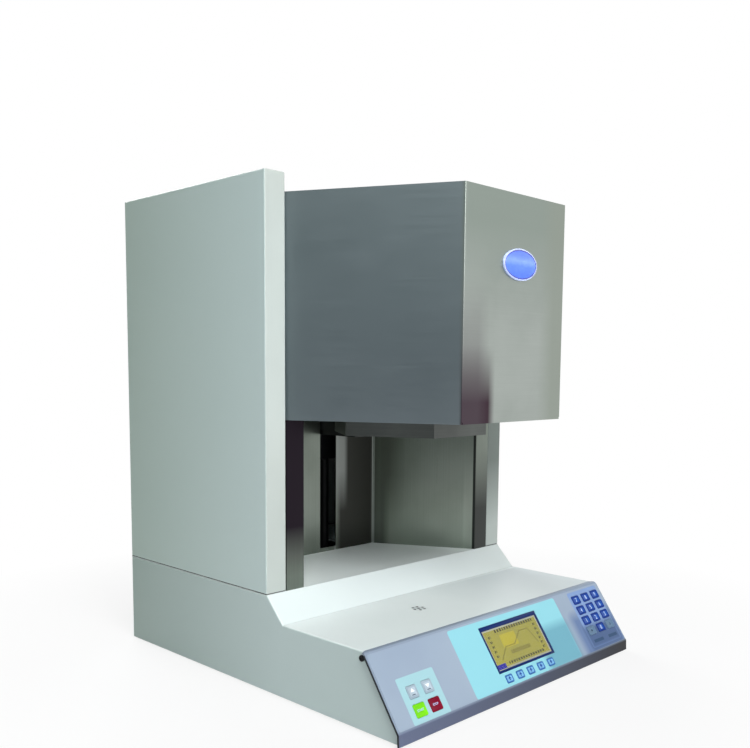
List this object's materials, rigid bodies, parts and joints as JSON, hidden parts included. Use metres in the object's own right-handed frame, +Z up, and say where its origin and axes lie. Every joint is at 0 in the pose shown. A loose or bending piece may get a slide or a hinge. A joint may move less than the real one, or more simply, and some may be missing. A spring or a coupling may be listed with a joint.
{
  "type": "dental lab furnace",
  "caption": "Bench burn-out furnace with a six-sided steel chamber over a recess, a screw-driven lift that lowers the hearth from it, and a sloping key panel with a display.",
  "frame": {"origin": "on the bench, under the middle of the outline", "axes": "+X to the right seen from the front, +Y to the back, +Z up"},
  "size_m": [0.46, 0.529, 0.608],
  "materials": {
    "white_enamel": "fine satin enamel",
    "zinc_sheet": "zinc-plated sheet",
    "black_rubber": "matte",
    "liner_steel": "satin, vertical and level grain",
    "jacket_steel": "brushed along the bench",
    "tray_steel": "heat-dulled satin",
    "refractory": "rough cast refractory",
    "quartz": "frosted tube",
    "ceramic": "unglazed ceramic",
    "fibre_seal": "ceramic fibre",
    "badge_blue": "domed resin over a dark ring",
    "black_enamel": "satin black",
    "aluminium": "milled",
    "brass": "turned",
    "ground_steel": "ground and polished",
    "panel_blue_grey": "satin enamel",
    "printed_film": "printed polyester film",
    "display_navy": "moulded frame over an olive display",
    "clear_window": "clear hard-coated window",
    "circuit_green": "solder mask",
    "black_plastic": "moulded",
    "rocker_black": "moulded rocker",
    "black_screw": "blackened steel",
    "key_grey": "domed key film",
    "key_green": "domed key film",
    "key_red": "domed key film",
    "key_blue": "domed key film"
  },
  "bodies": {
    "base": {"base_shell": "white_enamel", "bottom_plate": "zinc_sheet", "rubber_feet": "black_rubber", "left_side_column": "white_enamel", "right_side_column": "white_enamel", "rear_cover": "white_enamel", "top_cover": "white_enamel", "recess_liner": "liner_steel", "chamber_casing": "jacket_steel", "chamber_lid": "jacket_steel", "chamber_floor": "jacket_steel", "muffle_wall": "refractory", "muffle_roof": "refractory", "heating_elements": "quartz", "thermocouple": "ceramic", "front_badge": "badge_blue", "lift_frame": "zinc_sheet", "guide_rods": "ground_steel", "lift_motor": "black_enamel", "panel_tray": "panel_blue_grey", "panel_overlay": "printed_film", "lcd_module": "display_navy", "lcd_window": "clear_window", "controller_board": "circuit_green", "buzzer": "black_plastic", "fan_frame": "black_plastic", "fan_guard": "ground_steel", "mains_inlet": "black_plastic", "case_screws": "black_screw"},
    "hearth_lift": {"hearth_tray": "tray_steel", "hearth_block": "refractory", "hearth_seal": "fibre_seal", "lift_arm": "black_enamel", "lift_carriage": "aluminium", "carriage_bushes": "brass", "lead_nut": "brass"},
    "lift_screw": {"lead_screw": "ground_steel"},
    "fan_wheel": {"fan_rotor": "black_plastic"},
    "mains_rocker": {"power_rocker": "rocker_black"},
    "key_up_cap": {"key_up": "key_grey"},
    "key_down_cap": {"key_down": "key_grey"},
    "key_start_cap": {"key_start": "key_green"},
    "key_stop_cap": {"key_stop": "key_red"},
    "soft_key_1_cap": {"soft_key_1": "key_blue"},
    "soft_key_2_cap": {"soft_key_2": "key_blue"},
    "soft_key_3_cap": {"soft_key_3": "key_blue"},
    "soft_key_4_cap": {"soft_key_4": "key_blue"},
    "soft_key_5_cap": {"soft_key_5": "key_blue"},
    "pad_key_7_cap": {"pad_key_7": "key_blue"},
    "pad_key_8_cap": {"pad_key_8": "key_blue"},
    "pad_key_9_cap": {"pad_key_9": "key_blue"},
    "pad_key_4_cap": {"pad_key_4": "key_blue"},
    "pad_key_5_cap": {"pad_key_5": "key_blue"},
    "pad_key_6_cap": {"pad_key_6": "key_blue"},
    "pad_key_1_cap": {"pad_key_1": "key_blue"},
    "pad_key_2_cap": {"pad_key_2": "key_blue"},
    "pad_key_3_cap": {"pad_key_3": "key_blue"},
    "pad_key_point_cap": {"pad_key_point": "key_grey"},
    "pad_key_0_cap": {"pad_key_0": "key_blue"},
    "pad_key_sign_cap": {"pad_key_sign": "key_grey"}
  },
  "joints": [
    {"name": "hearth_slide", "type": "slide", "parent": "base", "child": "hearth_lift", "axis": [0, 0, 1], "range_m": [-0.16, 0]},
    {"name": "lift_screw_turn", "type": "hinge", "parent": "base", "child": "lift_screw", "pos_m": [0, 0.14, 0.068], "axis": [0, 0, 1], "range_deg": [0, 5761]},
    {"name": "fan_wheel_turn", "type": "hinge", "parent": "base", "child": "fan_wheel", "pos_m": [0, 0.2455, 0.47], "axis": [0, 1, 0], "continuous": true},
    {"name": "mains_rocker_tilt", "type": "hinge", "parent": "base", "child": "mains_rocker", "pos_m": [-0.15, 0.2575, 0.078], "axis": [1, 0, 0], "range_deg": [-14, 0]},
    {"name": "key_up_press", "type": "slide", "parent": "base", "child": "key_up_cap", "axis": [0, 0.8202, -0.572], "range_m": [0, 0.0005], "stiffness_N_per_m": 800, "springref_m": -0.0005},
    {"name": "key_down_press", "type": "slide", "parent": "base", "child": "key_down_cap", "axis": [0, 0.8202, -0.572], "range_m": [0, 0.0005], "stiffness_N_per_m": 800, "springref_m": -0.0005},
    {"name": "key_start_press", "type": "slide", "parent": "base", "child": "key_start_cap", "axis": [0, 0.8202, -0.572], "range_m": [0, 0.0005], "stiffness_N_per_m": 800, "springref_m": -0.0005},
    {"name": "key_stop_press", "type": "slide", "parent": "base", "child": "key_stop_cap", "axis": [0, 0.8202, -0.572], "range_m": [0, 0.0005], "stiffness_N_per_m": 800, "springref_m": -0.0005},
    {"name": "soft_key_1_press", "type": "slide", "parent": "base", "child": "soft_key_1_cap", "axis": [0, 0.8202, -0.572], "range_m": [0, 0.0005], "stiffness_N_per_m": 800, "springref_m": -0.0005},
    {"name": "soft_key_2_press", "type": "slide", "parent": "base", "child": "soft_key_2_cap", "axis": [0, 0.8202, -0.572], "range_m": [0, 0.0005], "stiffness_N_per_m": 800, "springref_m": -0.0005},
    {"name": "soft_key_3_press", "type": "slide", "parent": "base", "child": "soft_key_3_cap", "axis": [0, 0.8202, -0.572], "range_m": [0, 0.0005], "stiffness_N_per_m": 800, "springref_m": -0.0005},
    {"name": "soft_key_4_press", "type": "slide", "parent": "base", "child": "soft_key_4_cap", "axis": [0, 0.8202, -0.572], "range_m": [0, 0.0005], "stiffness_N_per_m": 800, "springref_m": -0.0005},
    {"name": "soft_key_5_press", "type": "slide", "parent": "base", "child": "soft_key_5_cap", "axis": [0, 0.8202, -0.572], "range_m": [0, 0.0005], "stiffness_N_per_m": 800, "springref_m": -0.0005},
    {"name": "pad_key_7_press", "type": "slide", "parent": "base", "child": "pad_key_7_cap", "axis": [0, 0.8202, -0.572], "range_m": [0, 0.0005], "stiffness_N_per_m": 800, "springref_m": -0.0005},
    {"name": "pad_key_8_press", "type": "slide", "parent": "base", "child": "pad_key_8_cap", "axis": [0, 0.8202, -0.572], "range_m": [0, 0.0005], "stiffness_N_per_m": 800, "springref_m": -0.0005},
    {"name": "pad_key_9_press", "type": "slide", "parent": "base", "child": "pad_key_9_cap", "axis": [0, 0.8202, -0.572], "range_m": [0, 0.0005], "stiffness_N_per_m": 800, "springref_m": -0.0005},
    {"name": "pad_key_4_press", "type": "slide", "parent": "base", "child": "pad_key_4_cap", "axis": [0, 0.8202, -0.572], "range_m": [0, 0.0005], "stiffness_N_per_m": 800, "springref_m": -0.0005},
    {"name": "pad_key_5_press", "type": "slide", "parent": "base", "child": "pad_key_5_cap", "axis": [0, 0.8202, -0.572], "range_m": [0, 0.0005], "stiffness_N_per_m": 800, "springref_m": -0.0005},
    {"name": "pad_key_6_press", "type": "slide", "parent": "base", "child": "pad_key_6_cap", "axis": [0, 0.8202, -0.572], "range_m": [0, 0.0005], "stiffness_N_per_m": 800, "springref_m": -0.0005},
    {"name": "pad_key_1_press", "type": "slide", "parent": "base", "child": "pad_key_1_cap", "axis": [0, 0.8202, -0.572], "range_m": [0, 0.0005], "stiffness_N_per_m": 800, "springref_m": -0.0005},
    {"name": "pad_key_2_press", "type": "slide", "parent": "base", "child": "pad_key_2_cap", "axis": [0, 0.8202, -0.572], "range_m": [0, 0.0005], "stiffness_N_per_m": 800, "springref_m": -0.0005},
    {"name": "pad_key_3_press", "type": "slide", "parent": "base", "child": "pad_key_3_cap", "axis": [0, 0.8202, -0.572], "range_m": [0, 0.0005], "stiffness_N_per_m": 800, "springref_m": -0.0005},
    {"name": "pad_key_point_press", "type": "slide", "parent": "base", "child": "pad_key_point_cap", "axis": [0, 0.8202, -0.572], "range_m": [0, 0.0005], "stiffness_N_per_m": 800, "springref_m": -0.0005},
    {"name": "pad_key_0_press", "type": "slide", "parent": "base", "child": "pad_key_0_cap", "axis": [0, 0.8202, -0.572], "range_m": [0, 0.0005], "stiffness_N_per_m": 800, "springref_m": -0.0005},
    {"name": "pad_key_sign_press", "type": "slide", "parent": "base", "child": "pad_key_sign_cap", "axis": [0, 0.8202, -0.572], "range_m": [0, 0.0005], "stiffness_N_per_m": 800, "springref_m": -0.0005}
  ],
  "couplings": [
    {"joint": "lift_screw_turn", "follows": "hearth_slide", "rad_per_m": -628.32}
  ]
}
